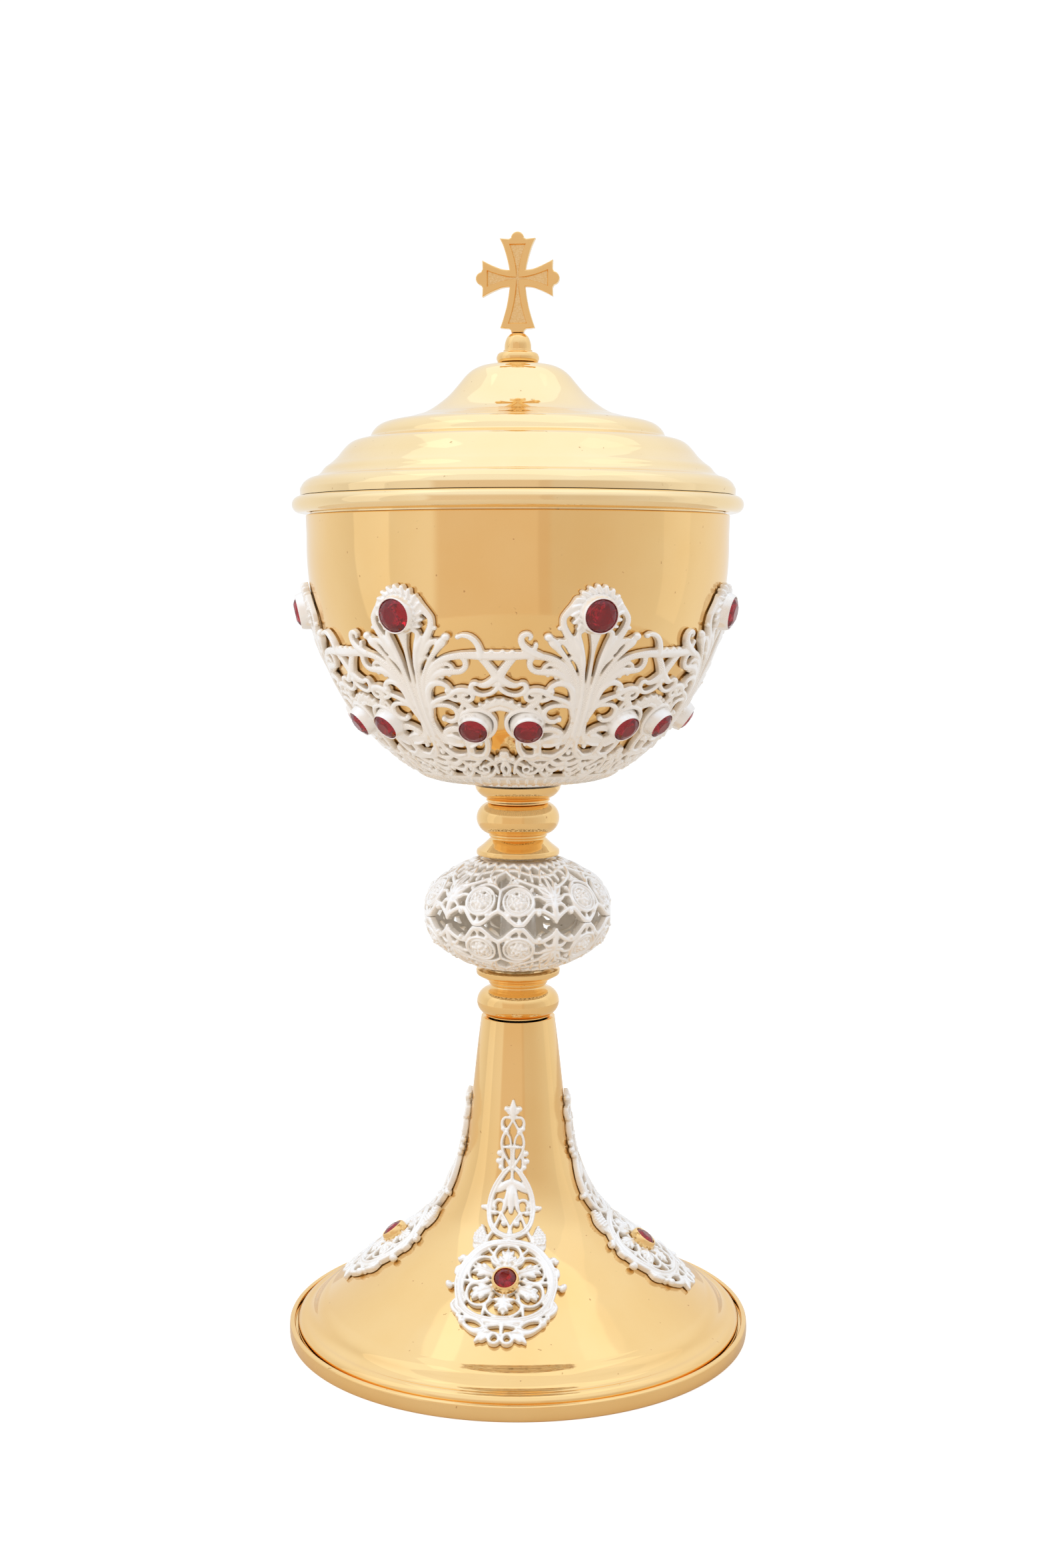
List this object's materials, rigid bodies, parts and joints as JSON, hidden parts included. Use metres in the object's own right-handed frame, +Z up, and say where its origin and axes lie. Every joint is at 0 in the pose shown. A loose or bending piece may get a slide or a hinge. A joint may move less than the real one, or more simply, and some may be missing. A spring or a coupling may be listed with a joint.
{
  "type": "covered ciborium",
  "caption": "Covered ciborium: gilt cup in a silver openwork cage set with red stones, pierced knop, bell foot with castings, and a lift-off lid with a cross.",
  "frame": {"origin": "on the vessel's axis, in the plane it stands on", "axes": "+Z up along the vessel's axis, -Y towards the front casting of the foot and the face of the cross"},
  "size_m": [0.125, 0.1246, 0.2935],
  "materials": {
    "gilt_brass": "mirror-polished gilding",
    "silver_plate": "bright silver-plated casting",
    "ruby_glass": "faceted, foil-backed, deep red",
    "steel": "plain turned steel"
  },
  "bodies": {
    "vessel": {"base_ring": "gilt_brass", "foot_bell": "gilt_brass", "foot_applique_1": "silver_plate", "foot_applique_2": "silver_plate", "foot_applique_3": "silver_plate", "foot_applique_4": "silver_plate", "foot_collet_1": "gilt_brass", "foot_collet_2": "gilt_brass", "foot_collet_3": "gilt_brass", "foot_collet_4": "gilt_brass", "foot_stone_1": "ruby_glass", "foot_stone_2": "ruby_glass", "foot_stone_3": "ruby_glass", "foot_stone_4": "ruby_glass", "lower_collar": "gilt_brass", "knop_lower": "silver_plate", "knop_upper": "silver_plate", "knop_core": "silver_plate", "upper_collar": "gilt_brass", "bowl_boss": "gilt_brass", "cage_washer": "silver_plate", "tie_rod": "steel", "clamp_washer": "steel", "clamp_nut": "steel", "bowl": "gilt_brass", "bowl_cage": "silver_plate", "large_stone_1": "ruby_glass", "large_stone_2": "ruby_glass", "large_stone_3": "ruby_glass", "large_stone_4": "ruby_glass", "large_stone_5": "ruby_glass", "large_stone_6": "ruby_glass", "large_stone_7": "ruby_glass", "small_stone_1": "ruby_glass", "small_stone_2": "ruby_glass", "small_stone_3": "ruby_glass", "small_stone_4": "ruby_glass", "small_stone_5": "ruby_glass", "small_stone_6": "ruby_glass", "small_stone_7": "ruby_glass", "small_stone_8": "ruby_glass", "small_stone_9": "ruby_glass", "small_stone_10": "ruby_glass", "small_stone_11": "ruby_glass", "small_stone_12": "ruby_glass", "small_stone_13": "ruby_glass", "small_stone_14": "ruby_glass"},
    "lid": {"lid_rim": "gilt_brass", "lid_shell": "gilt_brass", "finial_knob": "gilt_brass", "finial_nut": "gilt_brass", "cross": "gilt_brass", "cross_pin": "gilt_brass"}
  },
  "joints": [
    {"name": "lid_lift", "type": "slide", "parent": "vessel", "child": "lid", "axis": [0, 0, 1], "range_m": [0, 0.08]}
  ]
}
